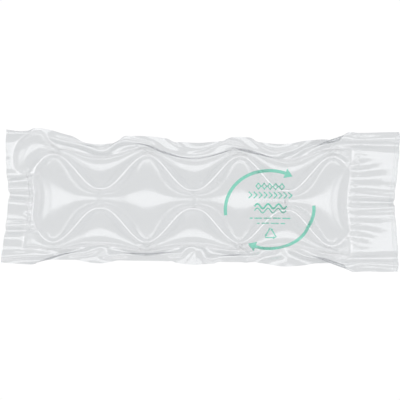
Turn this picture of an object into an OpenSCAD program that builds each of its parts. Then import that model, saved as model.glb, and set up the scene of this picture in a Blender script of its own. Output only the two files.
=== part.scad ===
// Inflated air cushion film strip: two thin webs welded along wavy and straight
// seals, so that air stands in three quilted lanes. Sizes are in millimetres.
// The strip lies flat on its lower web, +X along its length, +Z up. The far side
// lane is on +Y, the near one on -Y.

/* [Strip] */
// overall length of the inflated strip, end flange to hemmed inlet edge
strip_length = 373; // [280:1:520]
// half width of the strip out to its cut edge, at the flat inlet channel
edge_half_width = 66.5; // [60:0.5:90]
// wall of one film web
film_wall = 0.05; // [0.03:0.01:0.2]
// gauge of the printed ink on the upper web
ink_wall = 0.04; // [0.02:0.01:0.1]

/* [Wave seals] */
// distance between two necks of the middle lane
wave_pitch = 86.8; // [60:0.1:110]
// half width of the middle lane at a neck
neck_half_width = 8.8; // [6:0.1:16]
// half width of the middle lane at the middle of a cell
cell_half_width = 41.8; // [30:0.1:44]
// place of the first neck, from the left end of the strip
first_neck = 93.1; // [84:0.1:100]
// width of every weld line
seal_width = 2.2; // [1:0.1:4]

/* [Outer seals] */
// half distance between the outer seals where the side lanes are pinched
outer_pinch_half = 49.2; // [46.5:0.1:58]
// how far the far outer seal is drawn in beside a full side cell
far_sag = 9.4; // [0:0.1:12]
// how far the near outer seal is drawn in beside a full side cell
near_sag = 5.2; // [0:0.1:12]
// how far the cut edges are drawn in along the inflated lanes
edge_draw = 5.3; // [0:0.1:8]
// how much further the far edge is drawn in beside a full side cell
far_edge_sag = 6.2; // [0:0.1:8]
// how much further the near edge is drawn in where the side lane is pinched
near_edge_sag = 3.5; // [0:0.1:8]

/* [Inflation] */
// half thickness of a middle cell
cell_rise = 17.9; // [14:0.1:24]
// half thickness of the middle lane at a neck
neck_rise = 6.9; // [3:0.1:12]
// half thickness of a far side cell
far_rise = 10.0; // [5:0.1:14]
// half thickness of a near side cell
near_rise = 11.4; // [5:0.1:14]
// half thickness of a side lane where it is pinched
pinch_rise = 3.3; // [1:0.1:8]
// how far the fullest cells are pressed in by what the strip lies on
rest_press = 0.6; // [0.2:0.1:1.5]
// depth of the lower cells' crowns that lie flat
rest_flat = 1.8; // [1.7:0.1:2.6]

/* [End flange] */
// width of the flat film left of the middle lane
flange_width = 28.5; // [16:0.5:40]
// width of the flat film left of the far side lane
far_flange = 8.5; // [4:0.5:20]
// width of the flat film left of the near side lane
near_flange = 25; // [8:0.5:34]
// length over which an inflated lane rises from its end seal
end_rise_length = 30; // [12:1:40]
// how far the left and right edges are drawn in at mid width
end_bow = 6; // [0:0.1:8]
// how far the left corners are drawn in
corner_draw = 5.5; // [0:0.1:8]
// radius of the rounded seal in the far left corner
lobe_radius = 30; // [20:0.5:36]
// how much thicker the far side lane is in the corner
lobe_rise = 4.5; // [0:0.1:6]

/* [Inlet channel] */
// width of the gathered inlet channel right of the lanes, hem included
channel_width = 45.5; // [30:0.5:60]
// width of the hem band along the right edge
hem_width = 6; // [3:0.5:10]
// height of the gathers in the channel and in the end flange
gather_height = 1.6; // [0:0.1:3]
// spacing of the gathers
gather_pitch = 16.5; // [14:0.5:40]

/* [Skirts] */
// how far the far seal dips where the side lane is pinched
far_seal_dip = 3.1; // [0:0.1:5]
// how far the near seal dips there
near_seal_dip = 3.5; // [0:0.1:5]
// how far the far edge lifts there, over its height beside a full side cell
far_edge_lift = 3.6; // [0:0.1:6]
// how far the near edge lifts there, over its height beside a full side cell
near_edge_lift = 4.6; // [0:0.1:6]
// how far the skirts arch up between seal and edge where the side lane is pinched
skirt_crest = 4.4; // [0:0.1:6]
// how far the cut edges hang beside a full side cell
edge_hang = 1.8; // [0:0.1:4]
// how far the cut edges hang beside the last cell
last_hang = 6; // [0:0.1:8]

/* [Print] */
// half length of the printed arrow ring
ring_half_length = 39.5; // [20:0.5:42]
// half height of the printed arrow ring
ring_half_height = 35; // [20:0.5:38]
// width of the printed line
ring_line = 3.1; // [1:0.1:5]
// length of an arrow head
arrow_length = 7.5; // [3:0.5:12]
// full width of an arrow head
arrow_width = 10; // [5:0.5:16]
// distance of the print's middle from the right edge of the strip
print_from_right = 121.5; // [118:0.5:130]
// how far the print's middle lies below the strip's middle line
print_below = 7.5; // [4:0.5:12]

/* [Hidden] */

x_left = -strip_length / 2;
x_right = strip_length / 2;
x_neck = x_left + first_neck;
x_mid_start = x_left + flange_width;
x_far_start = x_left + far_flange;
x_near_start = x_left + near_flange;
x_lane_end = x_right - channel_width;
x_hem = x_right - hem_width;
wave_mid = (cell_half_width + neck_half_width) / 2;
wave_swing = (cell_half_width - neck_half_width) / 2;
rest_drop = cell_rise - rest_press;
z_mid = rest_drop + film_wall;
// The lower cells would stand this much fuller, were they not pressed flat.
lower_gain = (rest_drop + rest_flat) / cell_rise;
// Ends of the lanes, over which edges and seals come to their flat places.
lead_in = 0.17 * wave_pitch;
lead_length = 0.52 * wave_pitch;
lead_out = 0.29 * wave_pitch;
lobe_end = x_mid_start + lobe_radius;

function clamp01(t) = max(0, min(1, t));
function smooth(t) = let (c = clamp01(t)) c * c * (3 - 2 * c);
function mix(a, b, t) = a + (b - a) * t;
function phase(x) = 360 * (x - x_neck) / wave_pitch;
// share of a middle cell at x: 0 at a neck, 1 at the middle of a cell
function fullness(x) = (1 - cos(phase(x))) / 2;
// 0 at the flat ends of the strip, 1 along the inflated lanes
function lane_share(x) = smooth((x - x_left - lead_in) / lead_length)
    * smooth((x_lane_end + lead_out / 2 - x) / lead_out);
// 1 beside the last cell, 0 elsewhere
function last_share(x) = smooth((x - x_lane_end + 0.54 * wave_pitch) / lead_out)
    * smooth((x_lane_end + lead_out / 2 - x) / lead_out);
// 1 in the far left corner, 0 from the first cell on
function lobe_share(x) = smooth((lobe_end - x) / (0.8 * lobe_radius));

// Lines that run along the strip, as half widths from its middle line. s is 1 on
// the far side and -1 on the near side.
function wave_y(x) = wave_mid - wave_swing * cos(phase(max(x_mid_start,
    min(x, x_lane_end + channel_width / 5))));
function lane_outer_y(x, s) = outer_pinch_half + 0.6 * (1 - lane_share(x))
    - (s > 0 ? far_sag : near_sag) * (1 - fullness(x)) * lane_share(x);
function arc_y(x) = let (c = min(0.85, clamp01((x_far_start + lobe_radius - x) / (1.07 * lobe_radius))))
    edge_half_width - 0.2 * lobe_radius - lobe_radius * (1 - sqrt(1 - c * c));
function outer_y(x, s) = s > 0 ? mix(lane_outer_y(x, s), arc_y(x), lobe_share(x))
    : lane_outer_y(x, s);
function edge_y(x, s) = edge_half_width
    - lane_share(x) * (edge_draw + (s > 0 ? far_edge_sag * (1 - fullness(x))
                                          : near_edge_sag * fullness(x)))
    - corner_draw * smooth(1 - (x - x_left) / lead_length);

// A rounded rise: 0 where a lane begins, 1 at the far end of its rise.
function rise(d) = let (t = clamp01(d / end_rise_length)) pow(1 - pow(1 - t, 2), 0.9);
// Section of the middle lane: 1 in its middle, 0 at its seals, blunter at a neck.
function crown(r, f) = pow(cos(90 * pow(r, 1.1 + 1.4 * pow(1 - f, 8))), 1 + 0.65 * (1 - f));
// Section of a side lane: 0 at both seals, fullest beyond its middle.
function side_crown(t) = t <= 0 || t >= 1 ? 0 : pow(t, 0.75) * sqrt(1 - pow(t, 5)) / 0.705;

// Rows across half of the strip: [zone, share of the zone]. Zone 0 is the middle
// lane, 1 a side lane and 2 the flat skirt.
HALF_ROWS = [[0, 0], [0, 0.25], [0, 0.5], [0, 0.75], [0, 1],
             [1, 0], [1, 0.2], [1, 0.45], [1, 0.7], [1, 0.9], [1, 1],
             [2, 0], [2, 0.5], [2, 1]];
HALF = len(HALF_ROWS) - 1;
ROWS = 2 * HALF + 1;
function row(j) = HALF_ROWS[abs(j - HALF)];
function side(j) = j < HALF ? -1 : 1;

// Half width at which row j crosses the column at x.
function row_y(x, j) = let (z = row(j)[0], t = row(j)[1], h = seal_width / 2, s = side(j))
    z == 0 ? t * (wave_y(x) - h)
    : z == 1 ? mix(wave_y(x) + h, outer_y(x, s) - h, t)
    : mix(outer_y(x, s) + h, edge_y(x, s), t);

// Half thickness of the air under row j.
function lift(x, j) = let (z = row(j)[0], t = row(j)[1], f = fullness(x), s = side(j))
    z == 0 ? crown(t, f) * mix(neck_rise, cell_rise, pow(f, 0.54))
        * rise(x - x_mid_start) * rise(x_lane_end - x)
    : z == 1 ? side_crown(t) * (mix(s > 0 ? far_rise : near_rise, pinch_rise, f)
            + (s > 0 ? lobe_rise * lobe_share(x) : 0))
        * rise(x - (s > 0 ? x_far_start : x_near_start)) * rise(x_lane_end - x)
    : 0;

// Height of the plane in which the two webs meet, at the outer seal and at the edge.
function seal_z(x, s) = let (f = fullness(x))
    lane_share(x) * (s > 0 ? 0.2 * far_seal_dip - far_seal_dip * f : -near_seal_dip * f)
    + 0.6 * last_hang * last_share(x);
function edge_z(x, s) = lane_share(x)
        * ((s > 0 ? far_edge_lift : near_edge_lift) * fullness(x) - edge_hang)
    - last_hang * last_share(x);
function skirt_arch(x, s) = skirt_crest * lane_share(x)
    * (s > 0 ? mix(0.3, 1.1, pow(fullness(x), 0.6)) : pow(fullness(x), 0.3));
// Gathers of the flat film at both ends of the strip.
function gather(x, y) = -gather_height * cos(360 * y / gather_pitch)
    * (smooth((x - x_lane_end) / (channel_width / 5)) + 1.4 * smooth((x_mid_start - x) / 9));
function midplane(x, j) = let (z = row(j)[0], t = row(j)[1], s = side(j), y = s * row_y(x, j))
    (z == 1 ? t * seal_z(x, s) : z == 2 ? mix(seal_z(x, s), edge_z(x, s), t)
        + 4 * t * (1 - t) * skirt_arch(x, s) : 0)
    + (z == 1 && s > 0 ? gather(max(x, x_mid_start), y) : gather(x, y));

// Columns along the strip: ten in each wave, and those of the ends.
COLUMNS = concat(
    [x_left, mix(x_left, x_far_start, 0.5), x_far_start],
    [for (k = [-20 : 60]) let (x = x_neck + k * wave_pitch / 10)
        if (x > x_far_start + wave_pitch / 30 && x < x_lane_end - wave_pitch / 30) x],
    [for (i = [0 : 4]) mix(x_lane_end, x_hem, i / 4)],
    [x_right - hem_width / 2, x_right]);
LAST = len(COLUMNS) - 1;

// Ends bow inwards, as the lanes shrink more than the skirts do.
function bow(x, y) = end_bow * max(0, 1 - pow(y / edge_half_width, 2))
    * (smooth(1 - (x - x_left) / lead_length) - 0.67 * smooth(1 - (x_right - x) / lead_length));

// A point of a web's face. up is 1 on the upper web and -1 on the lower one, and
// off is how far the face stands off the inner one.
function face_point(i, j, up, off) = let (x = COLUMNS[i], y = side(j) * row_y(x, j),
        h = lift(x, j), m = midplane(x, j),
        z = up > 0 ? m + h : max(m - h * lower_gain, -rest_drop))
    [x + bow(x, y), y, z_mid + z + up * off];

function at(i, j, base) = base + i * ROWS + j;
// Two triangles for each cell, split the same way on every face.
function skin(i0, i1, j0, j1, base, flip) = [for (i = [i0 : i1 - 1], j = [j0 : j1 - 1])
    let (a = at(i, j, base), b = at(i + 1, j, base),
         c = at(i + 1, j + 1, base), d = at(i, j + 1, base))
    each (flip ? [[a, c, b], [a, d, c]] : [[a, b, c], [a, c, d]])];
function rim(base) = concat(
    [for (i = [0 : LAST - 1]) each [
        [at(i, 0, 0), at(i, 0, base), at(i + 1, 0, base)],
        [at(i, 0, 0), at(i + 1, 0, base), at(i + 1, 0, 0)],
        [at(i + 1, ROWS - 1, 0), at(i + 1, ROWS - 1, base), at(i, ROWS - 1, base)],
        [at(i + 1, ROWS - 1, 0), at(i, ROWS - 1, base), at(i, ROWS - 1, 0)]]],
    [for (j = [0 : ROWS - 2]) each [
        [at(0, j + 1, 0), at(0, j + 1, base), at(0, j, base)],
        [at(0, j + 1, 0), at(0, j, base), at(0, j, 0)],
        [at(LAST, j, 0), at(LAST, j, base), at(LAST, j + 1, base)],
        [at(LAST, j, 0), at(LAST, j + 1, base), at(LAST, j + 1, 0)]]]);

// One web: an outer and an inner face, and the rim that joins them.
module web(up) {
    inner = [for (i = [0 : LAST], j = [0 : ROWS - 1]) face_point(i, j, up, 0)];
    outer = [for (i = [0 : LAST], j = [0 : ROWS - 1]) face_point(i, j, up, film_wall)];
    n = len(inner);
    top = up > 0;
    sides = rim(n);
    polyhedron(points = concat(inner, outer),
        faces = concat(skin(0, LAST, 0, ROWS - 1, 0, !top),
                       skin(0, LAST, 0, ROWS - 1, n, top),
                       top ? sides : [for (f = sides) [f[2], f[1], f[0]]]));
}

// A closed layer of ink gauge that lies on the upper web over the given columns
// and rows. The print is cut out of it.
module ink_layer(i0, i1, j0, j1) {
    m = j1 - j0 + 1;
    k = i1 - i0 + 1;
    low = [for (i = [i0 : i1], j = [j0 : j1]) face_point(i, j, 1, film_wall)];
    high = [for (p = low) p + [0, 0, ink_wall]];
    n = len(low);
    function q(i, j, b) = b + i * m + j;
    polyhedron(points = concat(low, high), faces = concat(
        [for (i = [0 : k - 2], j = [0 : m - 2]) each [
            [q(i, j, 0), q(i + 1, j, 0), q(i + 1, j + 1, 0)],
            [q(i, j, 0), q(i + 1, j + 1, 0), q(i, j + 1, 0)],
            [q(i, j, n), q(i + 1, j + 1, n), q(i + 1, j, n)],
            [q(i, j, n), q(i, j + 1, n), q(i + 1, j + 1, n)]]],
        [for (i = [0 : k - 2]) each [
            [q(i + 1, 0, n), q(i + 1, 0, 0), q(i, 0, 0)],
            [q(i, 0, n), q(i + 1, 0, n), q(i, 0, 0)],
            [q(i, m - 1, n), q(i, m - 1, 0), q(i + 1, m - 1, 0)],
            [q(i + 1, m - 1, n), q(i, m - 1, n), q(i + 1, m - 1, 0)]]],
        [for (j = [0 : m - 2]) each [
            [q(0, j, n), q(0, j, 0), q(0, j + 1, 0)],
            [q(0, j + 1, n), q(0, j, n), q(0, j + 1, 0)],
            [q(k - 1, j + 1, n), q(k - 1, j + 1, 0), q(k - 1, j, 0)],
            [q(k - 1, j, n), q(k - 1, j + 1, n), q(k - 1, j, 0)]]]));
}

// The last column that lies left of x.
function column_before(x) = len([for (c = COLUMNS) if (c < x) c]) - 1;
print_x = x_right - print_from_right;
print_reach = ring_half_length + arrow_width / 2;

function on_ring(a, off) = [(ring_half_length + off) * cos(a), (ring_half_height + off) * sin(a)];

// One arrow of the ring, from angle a0 to its head at a1.
module ring_arrow(a0, a1, steps) {
    turn = a1 > a0 ? 1 : -1;
    bend = turn * arrow_length / ring_half_length * 57.3;
    line_end = a1 - bend * 0.9;
    polygon(concat(
        [for (i = [0 : steps]) on_ring(mix(a0, line_end, i / steps), ring_line / 2)],
        [on_ring(a1 - bend, arrow_width / 2), on_ring(a1, 0), on_ring(a1 - bend, -arrow_width / 2)],
        [for (i = [steps : -1 : 0]) on_ring(mix(a0, line_end, i / steps), -ring_line / 2)]));
}

module upper_web() color([0.93, 0.95, 0.95, 0.5]) web(1);
module lower_web() color([0.93, 0.95, 0.95, 0.5]) web(-1);
module arrow_print() color([0.47, 0.8, 0.69]) intersection() {
    ink_layer(column_before(print_x - print_reach), column_before(print_x + print_reach) + 1,
              1, ROWS - 2);
    translate([print_x, -print_below, z_mid - cell_rise])
        linear_extrude(3 * cell_rise) {
            ring_arrow(189, 56, 16);
            ring_arrow(5, -115, 16);
        }
}

upper_web();
lower_web();
arrow_print();
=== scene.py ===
"""Inflated air cushion film strip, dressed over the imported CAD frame.

The strip is two polyethylene webs welded along wavy and straight seals. Its flat
pattern is laid out on a triangular lattice, the air between the webs is let in, and
the webs settle into the quilted lanes, puckers and skirts that the photograph shows.
The print and the crimped lines of the hem and of the end seal follow that film.
"""

import enum
import logging
import math
from dataclasses import dataclass, field

import bpy
import numpy as np
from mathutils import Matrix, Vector
from mathutils.bvhtree import BVHTree

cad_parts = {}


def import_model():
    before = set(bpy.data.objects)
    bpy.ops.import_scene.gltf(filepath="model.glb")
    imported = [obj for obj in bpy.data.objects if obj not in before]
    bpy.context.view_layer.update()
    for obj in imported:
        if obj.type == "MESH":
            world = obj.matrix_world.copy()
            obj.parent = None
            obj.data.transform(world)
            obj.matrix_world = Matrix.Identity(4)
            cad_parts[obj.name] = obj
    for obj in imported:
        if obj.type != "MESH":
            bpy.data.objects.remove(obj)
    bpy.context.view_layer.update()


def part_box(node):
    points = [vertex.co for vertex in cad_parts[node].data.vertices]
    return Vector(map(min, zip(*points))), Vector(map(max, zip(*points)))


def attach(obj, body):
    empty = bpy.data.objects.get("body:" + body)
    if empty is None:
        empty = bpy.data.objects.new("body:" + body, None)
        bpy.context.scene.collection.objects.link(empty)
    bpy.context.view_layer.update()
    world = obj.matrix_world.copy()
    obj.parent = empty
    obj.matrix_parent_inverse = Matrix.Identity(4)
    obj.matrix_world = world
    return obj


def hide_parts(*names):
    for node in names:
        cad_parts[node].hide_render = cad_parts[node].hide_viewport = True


LOG = logging.getLogger("film_strip")

MM = 0.001
# The photograph's width in pixels, and how long each pixel is on the strip.
PHOTO_PIXELS = 400
PIXEL_MM = 0.935
PHOTO_CENTRE = (199.7, 200.2)
# Clearances that keep faces from lying in one another, in metres.
TABLE_CLEARANCE = 0.0001
WELD_CLEARANCE = 0.00012
LEAST_HEIGHT = 0.00002
INK_CLEARANCE = 0.00015
FLOOR_DROP = 0.0002
WHITE = (1.0, 1.0, 1.0, 1.0)


def linear(hex_colour: str, alpha: float = 1.0) -> tuple[float, float, float, float]:
    """Turn an sRGB hex colour into linear values.

    Args:
        hex_colour: Colour as "#rrggbb".
        alpha: Value of the fourth channel.

    Returns:
        Linear red, green and blue, and alpha.
    """
    text = hex_colour.lstrip("#")
    values = [int(text[i:i + 2], 16) / 255 for i in (0, 2, 4)]
    out = [v / 12.92 if v <= 0.04045 else ((v + 0.055) / 1.055) ** 2.4 for v in values]
    return out[0], out[1], out[2], alpha


def on_strip(x_pixel: float, y_pixel: float) -> tuple[float, float]:
    """Turn a place in the photograph, from its top left, into millimetres on the strip."""
    return ((x_pixel - PHOTO_CENTRE[0]) * PIXEL_MM, (PHOTO_CENTRE[1] - y_pixel) * PIXEL_MM)


def rounded_min(a: np.ndarray, b: np.ndarray, radius: float) -> np.ndarray:
    """Join the distances inside two edges, with a rounded corner between the edges."""
    ua, ub = np.maximum(radius - a, 0), np.maximum(radius - b, 0)
    return np.maximum(radius, np.minimum(a, b)) - np.sqrt(ua * ua + ub * ub)


@dataclass(frozen=True)
class SealPattern:
    """Flat pattern of one strip, in millimetres, before it is inflated."""

    length: float = 406.0
    half_width: float = 80.5
    pitch: float = 95.9
    first_neck: float = 99.0
    neck_width: float = 28.0
    cell_width: float = 95.0
    outer_seal: float = 60.5
    near_bulge: float = 3.5
    far_bulge: float = -3.0
    seal_width: float = 2.6
    lane_start: float = 25.0
    far_start: float = 8.0
    near_start: float = 21.0
    lane_end: float = 360.0
    corner_radius: float = 31.0
    corner_end: float = 60.0
    corner_run: float = 24.0
    edge_margin: float = 2.0
    cell_corner: float = 8.0
    neck_corner: float = 2.0
    side_corner: float = 14.0
    end_corner: float = 3.0
    undrawn: float = 20.0
    fully_drawn: float = 58.0

    def wave(self, u: np.ndarray) -> np.ndarray:
        """Half width of the middle lane at u."""
        mid = (self.neck_width + self.cell_width) / 4
        turn = 2 * np.pi * (np.maximum(u, self.lane_start) - self.first_neck) / self.pitch
        return mid - self._swing * np.cos(turn)

    def bulge(self, u: np.ndarray, v: np.ndarray) -> np.ndarray:
        """How far the outer seal and the cut edge swing out beside a side cell."""
        swing = (1 + np.cos(2 * np.pi * (u - self.first_neck) / self.pitch)) / 2
        swing = swing * np.clip(u / 30 - 1, 0, 1) * np.clip((self.lane_end - u) / 20, 0, 1)
        return swing * np.where(v < 0, self.near_bulge, self.far_bulge)

    def spread(self, u: np.ndarray, v: np.ndarray) -> np.ndarray:
        """Places across the strip, drawn out to where the cut edge swings."""
        share = np.clip((np.abs(v) - self.undrawn) / (self.fully_drawn - self.undrawn), 0, 1)
        return v + np.sign(v) * share * self.bulge(u, v)

    @property
    def _swing(self) -> float:
        """Half of the wave seal's travel across the strip."""
        return (self.cell_width - self.neck_width) / 4

    def _slope(self, u: np.ndarray) -> np.ndarray:
        """Slope of the wave seal at u."""
        turn = 2 * np.pi / self.pitch
        slope = self._swing * turn * np.sin(turn * (u - self.first_neck))
        return np.where(u < self.lane_start, 0.0, slope)

    def _outer(self, u: np.ndarray, v: np.ndarray) -> np.ndarray:
        """Half width of the outer seal, which runs out to the edge at the first corner."""
        share = np.clip((self.corner_end - u) / self.corner_run, 0, 1)
        share = share * share * (3 - 2 * share) * (v > 0)
        reach = self.half_width - self.edge_margin - self.outer_seal
        return self.outer_seal + reach * share + self.bulge(u, v)

    def seal(self, inside: np.ndarray) -> np.ndarray:
        """Share of a weld line, from the distance to its edge: 1 on its middle, 0 off it."""
        half = self.seal_width / 2
        return np.clip(1.0 - np.abs(inside + half) / half, 0, 1)

    def crinkle(self, u: np.ndarray, v: np.ndarray) -> np.ndarray:
        """How crumpled the film is: where lanes are pinched, and round the end seals.

        Args:
            u: Places along the strip.
            v: Places across it.

        Returns:
            Shares, 0 where the film is smooth.
        """
        across = np.abs(v)
        # The inlet channel, the film just past the lanes, and the film before them.
        total = 0.06 * np.clip((u - self.lane_end + 6) / 8, 0, 1)
        total = total + 0.2 * self._fading(u, self.lane_end + 6, 5)
        total = total + 0.4 * self._fading(u, self.lane_start - 3, 4) * (across < 36)
        # Where a middle cell is widest, it pinches the side lane against the outer seal.
        pinch_v = (self.cell_width / 2 + self.outer_seal) / 2 + 2
        for k in range(-1, 3):
            pinch_u = self.first_neck + (k + 0.5) * self.pitch
            spot = self._fading(u, pinch_u, 12) * self._fading(across, pinch_v, 9)
            total = total + spot * (0.5 if k == -1 else 1.0)
        return np.clip(total, 0, 1)

    @staticmethod
    def _fading(place: np.ndarray, middle: float, reach: float) -> np.ndarray:
        """Share that is 1 at the middle and fades out over the reach."""
        return np.exp(-((place - middle) / reach) ** 2)

    def inside(self, u: np.ndarray, v: np.ndarray) -> np.ndarray:
        """How far a point of the film is from the nearest weld.

        Args:
            u: Places along the strip.
            v: Places across it, from its middle line.

        Returns:
            Distances, above 0 where air stands between the webs.
        """
        half = self.seal_width / 2
        across = np.abs(v)
        slant = np.sqrt(1 + self._slope(u) ** 2)
        middle = (self.wave(u) - across) / slant - half
        middle = rounded_min(middle, u - self.lane_start - half, self.cell_corner)
        middle = rounded_min(middle, self.lane_end - half - u, self.end_corner)
        side = rounded_min((across - self.wave(u)) / slant - half,
                           self._outer(u, v) - half - across, self.neck_corner)
        side = rounded_min(side, u - self.far_start, self.side_corner)
        side = np.where(v < 0, np.minimum(side, u - self.near_start), side)
        cu = self.far_start + self.corner_radius
        cv = self.half_width - self.edge_margin - self.corner_radius
        corner = np.where((u < cu) & (v > cv),
                          self.corner_radius - np.hypot(u - cu, v - cv), 1e3)
        side = np.minimum(side, corner)
        side = rounded_min(side, self.lane_end - half - u, self.end_corner)
        return np.maximum(middle, side)


class FilmLattice:
    """Triangular lattice over the flat pattern, with its lines drawn onto the welds."""

    # In shares of the spacing: how near a weld a point is welded, how near to its edge a
    # point is drawn onto it, and how far a point may be drawn.
    WELDED, NEAR_EDGE, FURTHEST = 0.12, 0.45, 0.5

    def __init__(self, pattern: SealPattern, spacing: float) -> None:
        """Lay the lattice out.

        Args:
            pattern: The flat pattern.
            spacing: Distance between neighbours in a row, in millimetres.
        """
        self.pattern = pattern
        self.columns = 2 * round(pattern.length / spacing / 2)
        self.rows = 4 * round(2 * pattern.half_width / (spacing * math.sqrt(3) / 2) / 4)
        self.step = pattern.length / self.columns
        self.row_step = 2 * pattern.half_width / self.rows
        row, column = np.meshgrid(np.arange(self.rows + 1), np.arange(self.columns + 1),
                                  indexing="ij")
        u = np.minimum((column + 0.5 * (row % 2)) * self.step, pattern.length)
        v = row * self.row_step - pattern.half_width
        u[(row % 2 == 1) & (column == 0)] = 0.0
        u[1::2, -2] = pattern.length - 0.75 * self.step
        v = pattern.spread(u, v)
        self.u, self.v = self._drawn_to_welds(u, v, row, column)
        self.inside = pattern.inside(self.u, self.v)
        self.weld = self.inside < self.WELDED * self.step
        self.edges = self._edges()
        self.triangles = self._triangles()
        flat = np.stack([self.u, self.v, 0 * self.u], -1)
        self.lengths = [np.linalg.norm(flat[b] - flat[a], axis=-1).astype(np.float32)
                        for a, b in self.edges]

    def _drawn_to_welds(self, u: np.ndarray, v: np.ndarray, row: np.ndarray,
                        column: np.ndarray) -> tuple[np.ndarray, np.ndarray]:
        """Move the points nearest to a weld's edge onto it.

        Args:
            u: Places along the strip.
            v: Places across it.
            row: Row of each point.
            column: Column of each point.

        Returns:
            The places along and across, moved.
        """
        u0, v0 = u.copy(), v.copy()
        inner = ((column > 1) & (column < self.columns - 2) & (row > 0) & (row < self.rows))
        e = 0.05
        for _ in range(5):
            f = self.pattern.inside(u, v)
            gu = (self.pattern.inside(u + e, v) - self.pattern.inside(u - e, v)) / (2 * e)
            gv = (self.pattern.inside(u, v + e) - self.pattern.inside(u, v - e)) / (2 * e)
            g2 = gu * gu + gv * gv + 1e-6
            near = inner & (np.abs(f) < self.NEAR_EDGE * self.step)
            u = np.where(near, u - f * gu / g2, u)
            v = np.where(near, v - f * gv / g2, v)
        far = np.hypot(u - u0, v - v0) > self.FURTHEST * self.step
        u[far], v[far] = u0[far], v0[far]
        return u.astype(np.float32), v.astype(np.float32)

    def _row_slices(self) -> tuple[slice, slice, slice, slice]:
        """Even rows and the rows above them, odd rows and the rows above them."""
        n = self.rows
        return slice(0, n, 2), slice(1, n + 1, 2), slice(1, n, 2), slice(2, n + 1, 2)

    def _edges(self) -> list:
        """Pairs of index ranges: each family joins neighbours in one direction."""
        even, above_even, odd, above_odd = self._row_slices()
        every, left, right = slice(None), slice(0, -1), slice(1, None)
        return [((every, left), (every, right)),
                ((even, every), (above_even, every)), ((even, right), (above_even, left)),
                ((odd, every), (above_odd, every)), ((odd, left), (above_odd, right))]

    def _triangles(self) -> list:
        """Triples of index ranges: each family holds the triangles that point one way."""
        even, above_even, odd, above_odd = self._row_slices()
        left, right = slice(0, -1), slice(1, None)
        return [((even, left), (even, right), (above_even, left)),
                ((even, right), (above_even, right), (above_even, left)),
                ((odd, left), (above_odd, right), (above_odd, left)),
                ((odd, left), (odd, right), (above_odd, right))]

    def triangle_indices(self) -> np.ndarray:
        """Corner numbers of every triangle, turned upwards."""
        number = np.arange(self.u.size).reshape(self.u.shape)
        return np.vstack([np.stack([number[q].ravel() for q in t], 1) for t in self.triangles])

    def volume(self, shape: np.ndarray) -> float:
        """Air between the webs.

        Args:
            shape: Points of both webs, in millimetres.

        Returns:
            The volume, in cubic centimetres.
        """
        total = 0.0
        for web, sign in zip(shape, (1, -1)):
            for a, b, c in self.triangles:
                ab, ac = web[b] - web[a], web[c] - web[a]
                area = ab[..., 0] * ac[..., 1] - ab[..., 1] * ac[..., 0]
                height = web[a][..., 2] + web[b][..., 2] + web[c][..., 2]
                total += sign * float((area * height).sum()) / 6
        return total / 1000

    def carry(self, shape: np.ndarray, finer: "FilmLattice") -> np.ndarray:
        """Carry a shape over to a finer lattice, by flat place.

        Args:
            shape: Points of both webs on this lattice.
            finer: The lattice that takes the shape.

        Returns:
            Points of both webs on the finer lattice.
        """
        moved = shape - np.stack([self.u, self.v, 0 * self.u], -1)[None]
        row_v = np.arange(finer.rows + 1)[:, None] * finer.row_step
        rows = row_v / self.row_step + 0 * finer.u
        low = np.clip(np.floor(rows).astype(int), 0, self.rows - 1)
        share = (rows - low)[..., None]

        def along(row: np.ndarray) -> np.ndarray:
            """Movement at the finer points' places along a coarse row."""
            place = np.clip(finer.u / self.step - 0.5 * (row % 2), 0, self.columns - 1e-3)
            first = np.floor(place).astype(int)
            part = (place - first)[..., None]
            return moved[:, row, first] * (1 - part) + moved[:, row, first + 1] * part

        drawn = along(low) * (1 - share) + along(low + 1) * share
        return (np.stack([finer.u, finer.v, 0 * finer.u], -1)[None] + drawn).astype(np.float32)


@dataclass(frozen=True)
class InflationStage:
    """One pass of the inflation on one lattice."""

    spacing: float
    steps: int
    pressure: tuple[float, float]
    film_bending: float
    weld_bending: float
    film_push: float
    weld_push: float
    calm: float


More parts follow.
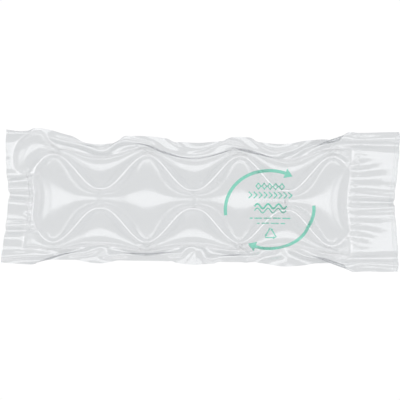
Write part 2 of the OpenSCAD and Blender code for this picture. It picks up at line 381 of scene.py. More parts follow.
@dataclass
class Inflator:
    """Lets air in between two welded webs and settles them.

    The webs resist stretching, give way to a push by wrinkling, and resist bending a
    little. The welds hold both webs together, and the table holds them from below. The
    machine lets in so many cubic centimetres of air, the strip keeps a least length, and
    its near cut edge lies smoothed out, at least so far from the middle.
    """

    pattern: SealPattern
    stages: tuple[InflationStage, ...]
    floor: float
    air: float
    least_length: float
    near_reach: float
    damping: float = 0.03
    relaxation: float = 0.45
    fading_air: float = 0.04
    back_pressure: float = 0.3
    held_columns: int = 4
    end_push: float = 0.5
    edge_push: float = 0.3
    ironing: int = 16
    ironing_push: float = 1.04
    seed: int = 3

    def run(self) -> tuple[FilmLattice, np.ndarray]:
        """Inflate the strip through every stage.

        Returns:
            The finest lattice, and the points of the upper and the lower web on it.
        """
        lattice = FilmLattice(self.pattern, self.stages[0].spacing)
        shape = self._start(lattice)
        for number, stage in enumerate(self.stages):
            if number:
                finer = FilmLattice(self.pattern, stage.spacing)
                shape = lattice.carry(shape, finer)
                lattice = finer
            shape = self._settle(lattice, shape, stage)
            LOG.info("inflation stage %d: %s points a web, %.1f by %.1f by %.1f mm",
                     number + 1, lattice.u.size, *np.ptp(shape.reshape(-1, 3), axis=0))
        return lattice, shape

    def _start(self, lattice: FilmLattice) -> np.ndarray:
        """Lay both webs flat, barely parted, with the slight unevenness of real film.

        Args:
            lattice: The lattice of the webs.

        Returns:
            Points of the upper and the lower web.
        """
        rng = np.random.default_rng(self.seed)
        u, v = lattice.u, lattice.v
        part = 0.15 * np.minimum(np.maximum(lattice.inside, 0), 12)
        uneven = (0.3 * np.sin(u / 7.3 + 1.1) * np.cos(v / 5.1)
                  + 0.25 * np.sin(u / 3.1) * np.sin(v / 9 + 2)
                  + rng.normal(0, 0.01, u.shape))
        upper = np.stack([u, v, part + uneven], -1)
        lower = np.stack([u, v, -part + uneven], -1)
        return np.stack([upper, lower]).astype(np.float32)

    def _settle(self, lattice: FilmLattice, shape: np.ndarray,
                stage: InflationStage) -> np.ndarray:
        """Run one stage, from its first pressure down to its last.

        Args:
            lattice: The lattice of the webs.
            shape: Points of both webs.
            stage: The stage.

        Returns:
            The settled points.
        """
        both = slice(None)
        edges = [((both,) + a, (both,) + b) for a, b in lattice.edges]
        faces = [tuple((both,) + q for q in t) for t in lattice.triangles]
        count = np.zeros(lattice.u.shape + (1,), np.float32)
        for a, b in lattice.edges:
            count[a] += 1
            count[b] += 1
        weld = lattice.weld
        push = np.where(weld, stage.weld_push, stage.film_push).astype(np.float32)
        pushes = [0.25 * (push[a] + push[b]) for a, b in lattice.edges]
        bend = np.where(weld, stage.weld_bending, stage.film_bending)
        bend = bend.astype(np.float32)[None, :, :, None]
        outward = np.array([1.0, -1.0], np.float32).reshape(2, 1, 1, 1)
        outward = outward * (~weld)[None, :, :, None] / (6 * lattice.step * lattice.row_step)
        calm = 1 - stage.calm * weld.astype(np.float32)[None]
        speed = np.zeros_like(shape)
        normal = np.zeros_like(shape)

        def spread(values: np.ndarray) -> np.ndarray:
            """How far the mean of each point's neighbours is from the point."""
            total = np.zeros_like(values)
            for a, b in edges:
                total[a] += values[b]
                total[b] += values[a]
            return total / count - values

        first, last = stage.pressure
        filling = 1.0
        for step in range(stage.steps):
            pressure = first * (last / first) ** (step / stage.steps)
            if step % 5 == 0:
                # Pressure fades as the last of the air comes in, and turns past it.
                lack = 1 - lattice.volume(shape) / self.air
                filling = min(max(lack / self.fading_air, -self.back_pressure), 1.0)
            if step % 2 == 0:
                normal[:] = 0
                for a, b, c in faces:
                    n = np.cross(shape[b] - shape[a], shape[c] - shape[a])
                    normal[a] += n
                    normal[b] += n
                    normal[c] += n
                normal *= outward
            before = shape
            shape = shape + speed * (1 - self.damping) + pressure * filling * normal
            shape = shape - bend * spread(spread(shape))
            pull = np.zeros_like(shape)
            for (a, b), rest, give in zip(edges, lattice.lengths, pushes):
                gap = shape[b] - shape[a]
                length = np.sqrt((gap * gap).sum(-1))
                excess = length - rest
                gap *= (np.where(excess > 0, 0.5, give) * excess
                        / np.maximum(length, 1e-6))[..., None]
                pull[a] += gap
                pull[b] -= gap
            shape = shape + self.relaxation * pull
            self._hold_ends(shape)
            middle = 0.5 * (shape[0] + shape[1])
            shape = np.where(weld[None, :, :, None], middle[None], shape)
            shape[..., 2] *= calm
            shape[..., 2] = np.maximum(shape[..., 2], self.floor)
            speed = shape - before
        # Crumples finer than the lattice can hold are ironed out of the welded film.
        iron = 0.5 * weld.astype(np.float32)[None, :, :, None]
        for _ in range(self.ironing):
            shape = shape + iron * spread(shape)
            shape = shape - self.ironing_push * iron * spread(shape)
        return shape

    def _hold_ends(self, shape: np.ndarray) -> None:
        """Push the ends and the near edge out, where the strip is drawn in too far.

        Args:
            shape: Points of both webs, changed in place.
        """
        centre, half = self.pattern.length / 2, self.least_length / 2
        short = float(shape[:, :, 0, 0].mean()) - (centre - half)
        shape[:, :, :self.held_columns, 0] -= self.end_push * max(0.0, short)
        short = centre + half - float(shape[:, :, -1, 0].mean())
        shape[:, :, -self.held_columns:, 0] += self.end_push * max(0.0, short)
        edge = shape[:, 0, :, 1]
        edge -= self.edge_push * np.maximum(0, edge + self.near_reach)


class NodeTree:
    """A node tree, with one short way to add and join nodes."""

    def __init__(self, tree: bpy.types.NodeTree, prefix: str = "ShaderNode") -> None:
        """Empty the tree.

        Args:
            tree: The tree.
            prefix: What the type names of its nodes start with.
        """
        self.tree, self.prefix = tree, prefix
        tree.nodes.clear()

    def add(self, kind: str, inputs: dict | None = None, **settings) -> bpy.types.Node:
        """Add one node.

        Args:
            kind: Node type, without the prefix.
            inputs: Socket names or numbers, with a value or an output socket for each.
            **settings: Attributes of the node.

        Returns:
            The node.
        """
        node = self.tree.nodes.new(self.prefix + kind)
        for name, value in settings.items():
            setattr(node, name, value)
        for name, value in (inputs or {}).items():
            if isinstance(value, bpy.types.NodeSocket):
                self.tree.links.new(value, node.inputs[name])
            else:
                node.inputs[name].default_value = value
        return node

    def math(self, operation: str, *values: float | bpy.types.NodeSocket
             ) -> bpy.types.NodeSocket:
        """Add a math node and give its output."""
        return self.add("Math", dict(enumerate(values)), operation=operation).outputs[0]

    def ranged(self, value: bpy.types.NodeSocket, to: tuple[float, float],
               given: tuple[float, float] = (0.0, 1.0)) -> bpy.types.NodeSocket:
        """Map a value from the given range to another."""
        return self.add("MapRange", {"Value": value, "From Min": given[0], "From Max": given[1],
                                     "To Min": to[0], "To Max": to[1]}).outputs[0]

    def mix(self, share: float | bpy.types.NodeSocket, under: bpy.types.Node,
            over: bpy.types.Node) -> bpy.types.Node:
        """Mix two shaders."""
        return self.add("MixShader", {0: share, 1: under.outputs[0], 2: over.outputs[0]})


class MaterialTree(NodeTree):
    """The node tree of a new material."""

    def __init__(self, name: str) -> None:
        """Make the material, still empty."""
        self.material = bpy.data.materials.new(name)
        self.material.use_nodes = True
        super().__init__(self.material.node_tree)

    def finish(self, shader: bpy.types.Node) -> bpy.types.Material:
        """Join a shader to the output, and give the material."""
        self.add("OutputMaterial", {"Surface": shader.outputs[0]})
        return self.material


@dataclass(frozen=True)
class FilmFinish:
    """Look of the clear polyethylene film."""

    tint: str = "#eaebec"
    # The clear colour of film seen along its surface is painted lighter, a painted reflection
    # of the pale room.
    slant_reflection_tint: str = "#f1f1f2"
    # Along weld lines the clear colour is painted lighter, a painted highlight.
    seal_highlight_tint: str = "#f8f8f9"
    haze: str = "#f4f5f6"
    haze_share: float = 0.06
    # Along weld lines the haze is stronger, part of the same painted highlight.
    seal_highlight_haze: float = 0.12
    shine: float = 0.085
    roughness: float = 0.19
    ripple_mm: float = 0.22
    crumple_mm: float = 4.0


@dataclass(frozen=True)
class InkFinish:
    """Look of the flexographic ink."""

    colour: str = "#66bfa8"
    cover: float = 0.8
    roughness: float = 0.35


class Finishes:
    """Makes the procedural materials."""

    def film(self, name: str, finish: FilmFinish) -> bpy.types.Material:
        """Blown polyethylene film: clear, glossy, faintly hazy and finely rippled.

        Args:
            name: Name of the material.
            finish: Its look.

        Returns:
            The material.
        """
        t = MaterialTree(name)
        place = t.add("TexCoord").outputs["Object"]
        # Blown film carries faint draw lines along the machine direction, about 4 mm
        # apart, and a fine orange peel of about 1 mm.
        stretched = t.add("Mapping", {"Vector": place, "Scale": (60.0, 240.0, 60.0)})
        draw = t.add("TexNoise", {"Vector": stretched.outputs[0], "Scale": 1.0,
                                  "Detail": 3.0, "Roughness": 0.6})
        peel = t.add("TexNoise", {"Vector": place, "Scale": 900.0, "Detail": 2.0})
        height = t.math("ADD", t.math("MULTIPLY", draw.outputs[0], 0.6),
                        t.math("MULTIPLY", peel.outputs[0], 0.12))
        ripple = t.add("Bump", {"Height": height, "Strength": 0.5,
                                "Distance": finish.ripple_mm * MM})
        # Where the film is pinched it crumples into facets about 3 by 6 mm, with hard edges.
        pinched = t.add("Attribute", attribute_name="crinkle").outputs["Fac"]
        warp = t.add("TexNoise", {"Vector": place, "Scale": 180.0, "Detail": 2.0})
        bent = t.add("VectorMath", {0: warp.outputs["Color"], 1: (0.006, 0.006, 0.006),
                                    2: place}, operation="MULTIPLY_ADD")
        drawn = t.add("VectorMath", {0: bent.outputs[0], 1: (0.5, 1.0, 1.0)},
                      operation="MULTIPLY")
        facets = t.add("TexVoronoi", {"Vector": drawn.outputs[0], "Scale": 300.0},
                       feature="DISTANCE_TO_EDGE")
        crumple = t.math("MULTIPLY", facets.outputs["Distance"], pinched)
        bump = t.add("Bump", {"Height": crumple, "Strength": 0.8, "Normal": ripple.outputs[0],
                              "Distance": finish.crumple_mm * MM})
        blur = t.ranged(draw.outputs[0], (finish.roughness * 0.8, finish.roughness * 1.3),
                        (0.3, 0.7))
        sharp = t.math("SUBTRACT", 1.0, t.math("MULTIPLY", pinched, 0.45))
        rough = t.math("MULTIPLY", blur, sharp)
        # Film seen along its surface gets a lighter clear colour: a painted reflection of the
        # pale room on slanted film and in its creases.
        slant = t.add("LayerWeight", {"Blend": 0.5}).outputs["Facing"]
        slant_lightened = t.add("Mix", {0: t.math("POWER", slant, 2.0), 6: linear(finish.tint),
                              7: linear(finish.slant_reflection_tint)}, data_type="RGBA")
        # A weld line is pressed thin; along it the clear colour is painted lighter and the haze
        # stronger, a painted highlight on the flat weld band.
        seal = t.add("Attribute", attribute_name="seal").outputs["Fac"]
        lit = t.add("Mix", {0: t.math("MULTIPLY", seal, 0.6), 6: slant_lightened.outputs[2],
                            7: linear(finish.seal_highlight_tint)}, data_type="RGBA")
        clear = t.add("BsdfTransparent", {"Color": lit.outputs[2]})
        haze = t.add("BsdfPrincipled", {"Base Color": linear(finish.haze),
                                        "Roughness": 0.5, "Normal": bump.outputs[0]})
        # The haze grows along the weld lines, part of their painted highlight.
        cloudy = t.mix(t.ranged(seal, (finish.haze_share, finish.seal_highlight_haze)), clear, haze)
        gloss = t.add("BsdfGlossy", {"Color": WHITE, "Roughness": rough,
                                     "Normal": bump.outputs[0]})
        bumped = t.add("LayerWeight", {"Blend": 0.5, "Normal": bump.outputs[0]})
        shine = t.math("MULTIPLY_ADD", t.math("POWER", bumped.outputs["Facing"], 5.0),
                       1 - finish.shine, finish.shine)
        return t.finish(t.mix(shine, cloudy, gloss))

    def ink(self, name: str, finish: InkFinish) -> bpy.types.Material:
        """Water-based flexographic ink: thin, a little uneven, seen through slightly.

        Args:
            name: Name of the material.
            finish: Its look.

        Returns:
            The material.
        """
        t = MaterialTree(name)
        place = t.add("TexCoord").outputs["Object"]
        # Ink laid by a rubber plate mottles over about 1.5 mm.
        mottle = t.add("TexNoise", {"Vector": place, "Scale": 700.0, "Detail": 3.0})
        cover = t.ranged(mottle.outputs[0], (finish.cover - 0.1, finish.cover + 0.1),
                         (0.3, 0.7))
        body = t.add("BsdfPrincipled", {"Base Color": linear(finish.colour),
                                        "Roughness": finish.roughness, "IOR": 1.48})
        return t.finish(t.mix(cover, t.add("BsdfTransparent"), body))

    def crimp(self, name: str) -> bpy.types.Material:
        """Film that the sealing band has pressed into a thicker, whiter rib.

        Args:
            name: Name of the material.

        Returns:
            The material.
        """
        t = MaterialTree(name)
        place = t.add("TexCoord").outputs["Object"]
        # The crimp's gloss breaks up over about 1 mm.
        grain = t.add("TexNoise", {"Vector": place, "Scale": 1000.0, "Detail": 2.0})
        rough = t.ranged(grain.outputs[0], (0.12, 0.4))
        body = t.add("BsdfPrincipled", {"Base Color": linear("#f6f7f8"),
                                        "Roughness": rough, "IOR": 1.5})
        clear = t.add("BsdfTransparent", {"Color": linear("#f8f9fa")})
        return t.finish(t.mix(0.55, clear, body))


def placed(name: str, data: bpy.types.ID) -> bpy.types.Object:
    """Make an object of some data, and link it to the scene."""
    made = bpy.data.objects.new(name, data)
    bpy.context.scene.collection.objects.link(made)
    return made


def mesh_piece(name: str, points: np.ndarray, faces: np.ndarray,
               material: bpy.types.Material) -> bpy.types.Object:
    """Make a smooth mesh object at the origin.

    Args:
        name: Name of the piece.
        points: Corners, in metres.
        faces: Triangles or quads, as corner numbers.
        material: Its material.

    Returns:
        The object.
    """
    mesh = bpy.data.meshes.new(name)
    mesh.from_pydata(points.tolist(), [], faces.tolist())
    mesh.polygons.foreach_set("use_smooth", np.ones(len(mesh.polygons), bool))
    mesh.materials.append(material)
    mesh.validate()
    return placed(name, mesh)


class InflatedStrip:
    """The two webs of the strip, placed in the shared frame."""

    def __init__(self, lattice: FilmLattice, shape: np.ndarray, box: tuple) -> None:
        """Fit the inflated webs to the strip's box.

        Args:
            lattice: The lattice of the webs.
            shape: Points of both webs, in millimetres.
            box: Lowest and highest corner of the CAD strip, in metres.
        """
        self.lattice = lattice
        low, high = np.array(box[0]), np.array(box[1])
        flat = shape.reshape(-1, 3)
        start, end = flat.min(0), flat.max(0)
        centre = (start + end) / 2
        scale = (high[0] - low[0]) / ((end[0] - start[0]) * MM)
        points = (shape - [centre[0], 0.0, start[2]]) * MM * scale
        points[..., 0] += (high[0] + low[0]) / 2
        points[..., 2] += low[2] + TABLE_CLEARANCE
        self.points = points

    def web(self, name: str, upper: bool, material: bpy.types.Material) -> bpy.types.Object:
        """Make one web.

        Args:
            name: Name of the piece.
            upper: Whether it is the upper web.
            material: The film.

        Returns:
            The piece, with a flat-pattern UV map in metres.
        """
        faces = self.lattice.triangle_indices()
        points = self.points[0 if upper else 1].reshape(-1, 3).copy()
        if not upper:
            faces = faces[:, ::-1]
            # The lower web stays clear of the upper one where they are welded.
            points[:, 2] -= WELD_CLEARANCE * self.lattice.weld.ravel()
            points[:, 2] = np.maximum(points[:, 2], LEAST_HEIGHT)
        piece = mesh_piece(name, points, faces, material)
        layer = piece.data.uv_layers.new(name="FlatPattern")
        corners = np.empty(len(piece.data.loops), np.int32)
        piece.data.loops.foreach_get("vertex_index", corners)
        flat = np.stack([self.lattice.u.ravel(), self.lattice.v.ravel()], 1)[corners] * MM
        layer.data.foreach_set("uv", flat.astype(np.float32).ravel())
        pattern = self.lattice.pattern
        # The seal mask places the painted highlight along the weld lines.
        masks = {"seal": pattern.seal(self.lattice.inside),
                 "crinkle": pattern.crinkle(self.lattice.u, self.lattice.v)}
        for mask, values in masks.items():
            attribute = piece.data.attributes.new(mask, "FLOAT", "POINT")
            attribute.data.foreach_set("value", values.astype(np.float32).ravel())
        return piece

    def top_tree(self) -> BVHTree:
        """Search tree over the upper web."""
        return BVHTree.FromPolygons(self.points[0].reshape(-1, 3).tolist(),
                                    self.lattice.triangle_indices().tolist())


class Motif(enum.Enum):
    """Small shapes of the print."""

    DIAMOND = "diamond"
    CHEVRON = "chevron"
    WAVE = "wave"
    DASH = "dash"


@dataclass(frozen=True)
class MotifRow:
    """One row of small shapes, in millimetres about the print's middle."""

    motif: Motif
    y: float
    start: float
    spacing: float
    count: int
    size: tuple[float, float]
    line: float


class Outline:
    """Flat outlines of the print, in millimetres about the print's middle."""

    @staticmethod
    def ellipse(angle: float, radii: tuple[float, float], off: float) -> tuple[float, float]:
        """A point at an angle in degrees on an ellipse that is widened by off."""
        a = math.radians(angle)
        return (radii[0] + off) * math.cos(a), (radii[1] + off) * math.sin(a)

    @classmethod
    def arrow(cls, start: float, tip: float, radii: tuple[float, float], line: float,
              head: tuple[float, float]) -> list[list[tuple[float, float]]]:
        """One arrow of the ring, as a row of quads and a head.

        Args:
            start: Angle at which its line starts, in degrees.
            tip: Angle of its tip.
            radii: Half length and half height of the ring.
            line: Width of the line.
            head: Length and width of the head.

        Returns:
            Polygons.
        """
        turn = 1 if tip > start else -1
        base = tip - turn * math.degrees(head[0] / radii[0])
        steps = 48
        angles = [start + (base - start) * i / steps for i in range(steps + 1)]
        shapes = []
        for a, b in zip(angles, angles[1:]):
            shapes.append([cls.ellipse(a, radii, -line / 2), cls.ellipse(b, radii, -line / 2),
                           cls.ellipse(b, radii, line / 2), cls.ellipse(a, radii, line / 2)])
        shapes.append([cls.ellipse(base, radii, -head[1] / 2), cls.ellipse(tip, radii, 0.0),
                       cls.ellipse(base, radii, head[1] / 2)])
        return shapes

    @staticmethod
    def stroke(points: list[tuple[float, float]], line: float) -> list:
        """A drawn line of even width, as one quad for each leg.

        Args:
            points: Corners of the line.
            line: Its width.

        Returns:
            Polygons.
        """
        shapes = []
        for a, b in zip(map(np.array, points), map(np.array, points[1:])):
            way = (b - a) / np.linalg.norm(b - a)
            out = np.array([-way[1], way[0]]) * line / 2
            a, b = a - way * line * 0.3, b + way * line * 0.3
            shapes.append([tuple(a - out), tuple(b - out), tuple(b + out), tuple(a + out)])
        return shapes

    @classmethod
    def motifs(cls, row: MotifRow) -> list:
        """A row of small plain motifs.

        Args:
            row: What is drawn, where, how large and how often.

        Returns:
            Polygons.
        """
        shapes = []
        width, half = row.size[0], row.size[1] / 2
        for k in range(row.count):
            x = row.start + k * row.spacing
            y = row.y
            if row.motif is Motif.DIAMOND:
                shapes += cls.stroke([(x, y), (x + width / 2, y + half), (x + width, y),
                                      (x + width / 2, y - half), (x, y)], row.line)
            elif row.motif is Motif.CHEVRON:
                shapes += cls.stroke([(x, y + half), (x + width, y), (x, y - half)], row.line)
            elif row.motif is Motif.WAVE:
                arc = [(x + width * i / 8, y + half * math.sin(2 * math.pi * i / 8))
                       for i in range(9)]
                shapes += cls.stroke(arc, row.line)
            else:
                shapes += cls.stroke([(x, y), (x + width * (0.6 + 0.4 * (k % 2)), y)],
                                     row.line)
        return shapes

    @classmethod
    def loop(cls, x: float, y: float, size: float, line: float) -> list:
        """A plain triangular loop of three arrows.

        Args:
            x: Its middle, along the strip.
            y: Its middle, across the strip.
            size: From its middle to a corner.
            line: Width of the line, which sizes the heads as well.

        Returns:
            Polygons.
        """
        shapes = []
        for turn in (90, 210, 330):
            p, q = (np.array(cls.ellipse(a, (size, size), 0.0)) for a in (turn, turn + 120))
            way = (q - p) / np.linalg.norm(q - p)
            out = np.array([way[1], -way[0]]) * line / 2
            s, e = p + way * line * 0.4, q - way * line * 2.4
            shapes.append([tuple(c + (x, y)) for c in (s - out, s + out, e + out, e - out)])
            tip = q - way * line * 0.7
            shapes.append([tuple(c + (x, y)) for c in (e + out * 2.6, tip, e - out * 2.6)])
        return shapes


@dataclass(frozen=True)
class PrintLayout:
    """Where the print lies, in millimetres on the strip, and degrees round the ring."""

    middle: tuple[float, float] = on_strip(269.0, 209.0)
    radii: tuple[float, float] = (41.0, 36.3)
    line: float = 3.0
    head: tuple[float, float] = (7.6, 9.4)
    arrows: tuple[tuple[float, float], ...] = ((189.0, 59.0), (7.0, -118.0))
    rows: tuple[MotifRow, ...] = (
        MotifRow(Motif.DIAMOND, 21.6, -13.0, 5.6, 5, (4.6, 5.6), 1.05),
        MotifRow(Motif.CHEVRON, 13.4, -19.5, 4.7, 9, (2.8, 5.4), 1.15),
        MotifRow(Motif.WAVE, 3.2, -14.0, 10.0, 3, (10.0, 4.4), 1.6),
        MotifRow(Motif.WAVE, -0.8, -14.0, 10.0, 3, (10.0, 4.4), 1.1),
        MotifRow(Motif.DASH, -8.0, -18.0, 4.4, 9, (3.4, 0.0), 1.25),
        MotifRow(Motif.DASH, -12.8, -11.0, 4.4, 6, (3.4, 0.0), 1.05))
    loop: tuple[float, float, float, float] = (1.4, -22.8, 6.2, 1.15)


class PrintMaker:
    """Lays flat outlines onto the upper web."""

    def __init__(self, tree: BVHTree, layout: PrintLayout) -> None:
        """Keep the film and the layout.

        Args:
            tree: Search tree over the upper web.
            layout: Where the print lies.
        """
        self.tree = tree
        self.layout = layout

    def lay(self, name: str, polygons: list, material: bpy.types.Material,
            cell: float = 0.8, lift: float = INK_CLEARANCE) -> bpy.types.Object:
        """Make a piece of ink that follows the film.

        Args:
            name: Name of the piece.
            polygons: Flat polygons about the print's middle.
            material: The ink.
            cell: Size of the grid that each polygon is cut to, in millimetres.
            lift: How far the ink stands off the film, in metres.

        Returns:
            The piece.
        """
        points, faces = [], []
        for polygon in polygons:
            corners = [np.array(p) for p in polygon]
            if len(corners) == 3:
                corners.append(corners[2])
            a, b, c, d = corners
            nu = max(1, math.ceil(max(np.linalg.norm(b - a), np.linalg.norm(c - d)) / cell))
            nv = max(1, math.ceil(max(np.linalg.norm(d - a), np.linalg.norm(c - b)) / cell))
            base = len(points)
            for j in range(nv + 1):
                for i in range(nu + 1):
                    s, t = i / nu, j / nv
                    flat = (a * (1 - s) + b * s) * (1 - t) + (d * (1 - s) + c * s) * t
                    points.append(self._on_film(flat, lift))
            for j in range(nv):
                for i in range(nu):
                    k = base + j * (nu + 1) + i
                    faces.append((k, k + 1, k + nu + 2, k + nu + 1))
        return mesh_piece(name, np.array(points), np.array(faces), material)

    def _on_film(self, flat: np.ndarray, lift: float) -> tuple[float, float, float]:
        """Drop a flat place onto the upper web.

        Args:
            flat: Place about the print's middle, in millimetres.
            lift: How far the ink stands off the film, in metres.

        Returns:
            The point, in metres.
        """
        x = (self.layout.middle[0] + flat[0]) * MM
        y = (self.layout.middle[1] + flat[1]) * MM
        hit, normal, _, _ = self.tree.ray_cast(Vector((x, y, 0.2)), Vector((0, 0, -1)))
        if hit is None:
            raise ValueError(f"no film under the print at {x:.4f}, {y:.4f}")
        normal = normal if normal.z > 0 else -normal
        return tuple(hit + normal * lift)


@dataclass(frozen=True)
class CrimpLayout:
    """The crimped lines, with sizes in millimetres.

    The hem has five lines along the inlet edge, counted in lattice columns back from it.
    The end seal has a double line just before the lanes, counted back from their start,
    in a band across the strip.
    """

    hem: tuple[int, ...] = (0, 1, 2, 3, 4)
    hem_radius: float = 0.25
    seal: tuple[int, ...] = (1, 4)
    seal_band: tuple[float, float] = (-40.0, 30.0)
    seal_radius: float = 0.3
    ring_spacing: float = 1.5


class CrimpRibs:
    """Geometry Nodes set-up that sweeps a fine rib along every drawn line."""

    def __init__(self) -> None:
        """Build the node group."""
        self.group = bpy.data.node_groups.new("sweep_ribs", "GeometryNodeTree")
        face = self.group.interface
        self.sockets = {}
        for name, kind in (("Geometry", "Geometry"), ("Rib Radius", "Float"),
                           ("Point Spacing", "Float"), ("Material", "Material")):
            self.sockets[name] = face.new_socket(
                name, in_out="INPUT", socket_type="NodeSocket" + kind).identifier
        face.new_socket("Geometry", in_out="OUTPUT", socket_type="NodeSocketGeometry")
        t = NodeTree(self.group, "")
        given = t.add("NodeGroupInput").outputs
        curve = t.add("GeometryNodeMeshToCurve", {0: given["Geometry"]})
        even = t.add("GeometryNodeResampleCurve", {"Curve": curve.outputs[0],
                                                   "Length": given["Point Spacing"]},
                     mode="LENGTH")
        circle = t.add("GeometryNodeCurvePrimitiveCircle", {"Resolution": 6,
                                                            "Radius": given["Rib Radius"]})
        tube = t.add("GeometryNodeCurveToMesh", {"Curve": even.outputs[0], "Fill Caps": True,
                                                 "Profile Curve": circle.outputs[0]})
        real = t.add("GeometryNodeRealizeInstances", {0: tube.outputs[0]})
        paint = t.add("GeometryNodeSetMaterial", {"Geometry": real.outputs[0],
                                                  "Material": given["Material"]})
        t.add("NodeGroupOutput", {0: paint.outputs[0]})

    def sweep(self, name: str, lines: list[np.ndarray], radius: float, spacing: float,
              material: bpy.types.Material) -> bpy.types.Object:
        """Sweep a rib along each line.

        Args:
            name: Name of the piece.
            lines: Points of each line, in metres.
            radius: Radius of a rib, in metres.
            spacing: Distance between rings of a rib, in metres.
            material: Its material.

        Returns:
            The piece, as a plain mesh.
        """
        points, edges = [], []
        for line in lines:
            base = len(points)
            points.extend(map(tuple, line))
            edges.extend((base + i, base + i + 1) for i in range(len(line) - 1))
        guide_mesh = bpy.data.meshes.new(name + "_guide")
        guide_mesh.from_pydata(points, edges, [])
        guide = placed(name + "_guide", guide_mesh)
        modifier = guide.modifiers.new("Ribs", "NODES")
        modifier.node_group = self.group
        modifier[self.sockets["Rib Radius"]] = radius
        modifier[self.sockets["Point Spacing"]] = spacing
        modifier[self.sockets["Material"]] = material
        graph = bpy.context.evaluated_depsgraph_get()
        mesh = bpy.data.meshes.new_from_object(guide.evaluated_get(graph))
        mesh.name = name
        bpy.data.objects.remove(guide)
        mesh.polygons.foreach_set("use_smooth", np.ones(len(mesh.polygons), bool))
        return placed(name, mesh)


class Side(enum.Enum):
    """Where a softbox stands round the strip."""

    OVERHEAD = "overhead"
    FAR = "far"
    NEAR = "near"
    LEFT = "left"
    RIGHT = "right"


@dataclass(frozen=True)
class Softbox:
    """One soft light."""

    side: Side
    place: tuple[float, float, float]
    aim: tuple[float, float, float]
    size: tuple[float, float]
    watts: float


@dataclass
class Studio:
    """Plain pale floor, soft light and the photograph's camera."""

    softboxes: tuple[Softbox, ...] = field(default_factory=lambda: (
        Softbox(Side.OVERHEAD, (0.0, 0.0, 1.0), (0.0, 0.0, 0.0), (1.4, 0.8), 4.6),
        Softbox(Side.FAR, (0.0, 0.9, 0.16), (0.0, 0.0, 0.02), (1.4, 0.2), 1.6),
        Softbox(Side.NEAR, (0.0, -0.9, 0.16), (0.0, 0.0, 0.02), (1.4, 0.2), 1.2),
        Softbox(Side.LEFT, (-1.0, -0.1, 0.75), (0.0, 0.0, 0.02), (0.7, 0.6), 1.6),
        Softbox(Side.RIGHT, (1.0, 0.0, 0.75), (0.0, 0.0, 0.02), (0.7, 0.6), 1.4),
    ))
    ambient: float = 0.76
    backdrop: float = 1.02
    floor_half: float = 3.0
    camera_height: float = 1.15
    strip_middle: float = 0.018
    camera_pixels: tuple[float, float] = (0.3, -0.2)
    camera_turn: float = 0.8
    sensor: float = 36.0

    def build(self) -> None:
        """Make the floor, the world, the lights and the camera."""
        self._floor()
        self._world()
        for box in self.softboxes:
            self._light(box)
        self._camera()

    def _floor(self) -> None:
        """White floor that still takes the strip's shadow."""
        t = MaterialTree("studio_floor")
        path = t.add("LightPath").outputs
        paper = t.add("BsdfDiffuse", {"Color": (0.8, 0.8, 0.8, 1)})
        white = t.add("Emission", {"Color": WHITE, "Strength": self.backdrop})
        plain = t.math("MAXIMUM", path["Is Camera Ray"], path["Is Glossy Ray"])
        material = t.finish(t.mix(plain, paper, white))
        half = self.floor_half
        corners = [(x, y, -FLOOR_DROP)
                   for x, y in ((-half, -half), (half, -half), (half, half), (-half, half))]
        floor = mesh_piece("studio_floor", np.array(corners),
                           np.array([(0, 1, 2), (0, 2, 3)]), material)

    def _world(self) -> None:
        """Pale, even surroundings, white where the camera looks at them."""
        world = bpy.data.worlds.new("studio")
        bpy.context.scene.world = world
        world.use_nodes = True
        t = NodeTree(world.node_tree)
        pale = t.add("Background", {"Color": WHITE, "Strength": self.ambient})
        white = t.add("Background", {"Color": WHITE, "Strength": self.backdrop})
        mix = t.mix(t.add("LightPath").outputs["Is Camera Ray"], pale, white)
        t.add("OutputWorld", {"Surface": mix.outputs[0]})

    def _light(self, box: Softbox) -> None:
        """Hang one softbox and turn it to its aim."""
        lamp = bpy.data.lights.new("softbox_" + box.side.value, "AREA")
        lamp.shape = "RECTANGLE"
        lamp.size, lamp.size_y = box.size
        lamp.energy = box.watts
        light = placed(lamp.name, lamp)
        light.location = box.place
        way = Vector(box.aim) - Vector(box.place)
        light.rotation_euler = way.to_track_quat("-Z", "Y").to_euler()

    def _camera(self) -> None:
        """Camera straight above the strip, as the photograph was taken."""
        camera_data = bpy.data.cameras.new("photo_camera")
        camera_data.sensor_width = self.sensor
        away = self.camera_height - self.strip_middle
        camera_data.lens = self.sensor * away / (PHOTO_PIXELS * PIXEL_MM * MM)
        camera = placed("photo_camera", camera_data)
        x, y = self.camera_pixels
        camera.location = (x * PIXEL_MM * MM, y * PIXEL_MM * MM, self.camera_height)
        camera.rotation_euler = (0.0, 0.0, math.radians(self.camera_turn))
        bpy.context.scene.camera = camera
        bpy.context.scene.view_settings.view_transform = "Standard"


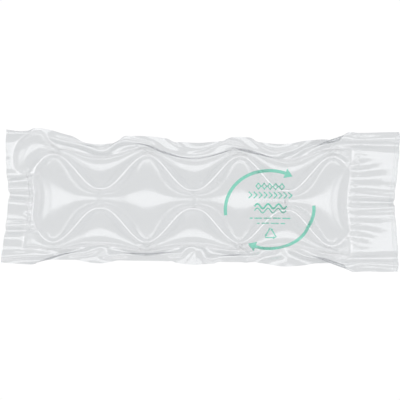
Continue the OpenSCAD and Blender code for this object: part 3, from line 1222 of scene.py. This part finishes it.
class StripBuilder:
    """Builds every piece of the strip and joins it to the frame."""

    def __init__(self) -> None:
        """Set the film, the stages of the inflation and the finishes."""
        self.finishes = Finishes()
        self.inflator = Inflator(
            pattern=SealPattern(),
            stages=(InflationStage(3.6, 250, (0.02, 0.012), 0.05, 0.1, 0.5, 0.9, 0.0005),
                    InflationStage(1.8, 400, (0.006, 0.004), 0.02, 0.1, 0.7, 0.9, 0.0005),
                    InflationStage(1.25, 200, (0.003, 0.002), 0.02, 0.12, 0.8, 0.9, 0.0005)),
            floor=-18.2, air=530.0, least_length=394.0, near_reach=62.5)

    def build(self) -> None:
        """Make and place all the pieces."""
        low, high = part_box("upper_web")
        low2, high2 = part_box("lower_web")
        box = ([min(a, b) for a, b in zip(low, low2)], [max(a, b) for a, b in zip(high, high2)])
        lattice, shape = self.inflator.run()
        strip = InflatedStrip(lattice, shape, box)
        film = self.finishes.film("polyethylene_film", FilmFinish())
        upper = strip.web("upper_film", True, film)
        lower = strip.web("lower_film", False, film)
        for piece, node in ((upper, "upper_web"), (lower, "lower_web")):
            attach(piece, "root")
            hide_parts(node)
            report(piece)
        self._print(strip)
        self._crimps(strip)

    def _print(self, strip: InflatedStrip) -> None:
        """Lay the arrow ring, the rows of motifs and the loop onto the upper web.

        Args:
            strip: The inflated strip.
        """
        ink = self.finishes.ink("flexographic_ink", InkFinish())
        layout = PrintLayout()
        maker = PrintMaker(strip.top_tree(), layout)
        ring = [shape for start, tip in layout.arrows
                for shape in Outline.arrow(start, tip, layout.radii, layout.line, layout.head)]
        motifs = [shape for row in layout.rows for shape in Outline.motifs(row)]
        pieces = [maker.lay("arrow_ring_print", ring, ink),
                  maker.lay("motif_print", motifs, ink),
                  maker.lay("loop_print", Outline.loop(*layout.loop), ink)]
        for piece in pieces:
            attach(piece, "root")
            report(piece)
        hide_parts("arrow_print")

    def _crimps(self, strip: InflatedStrip) -> None:
        """Sweep the crimped lines of the hem and of the end seal along the film.

        Args:
            strip: The inflated strip.
        """
        crimp = self.finishes.crimp("crimped_film")
        layout, ribs = CrimpLayout(), CrimpRibs()
        points, lattice = strip.points[0], strip.lattice
        hem = [points[:, lattice.columns - back] for back in layout.hem]
        across = lattice.v[:, 0]
        column = round(lattice.pattern.lane_start / lattice.step)
        band = (across > layout.seal_band[0]) & (across < layout.seal_band[1])
        seal = [points[band, column - back] for back in layout.seal]
        for name, lines, radius in (("hem_crimps", hem, layout.hem_radius),
                                    ("end_seal_crimps", seal, layout.seal_radius)):
            piece = ribs.sweep(name, lines, radius * MM, layout.ring_spacing * MM, crimp)
            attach(piece, "root")
            report(piece)


def report(piece: bpy.types.Object) -> None:
    """Log one finished piece."""
    LOG.info("%s: %d faces", piece.name, len(piece.data.polygons))


def main() -> None:
    """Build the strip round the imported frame."""
    logging.basicConfig(level=logging.INFO, format="%(name)s: %(message)s")
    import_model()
    StripBuilder().build()
    Studio().build()


if __name__ == "__main__":
    main()
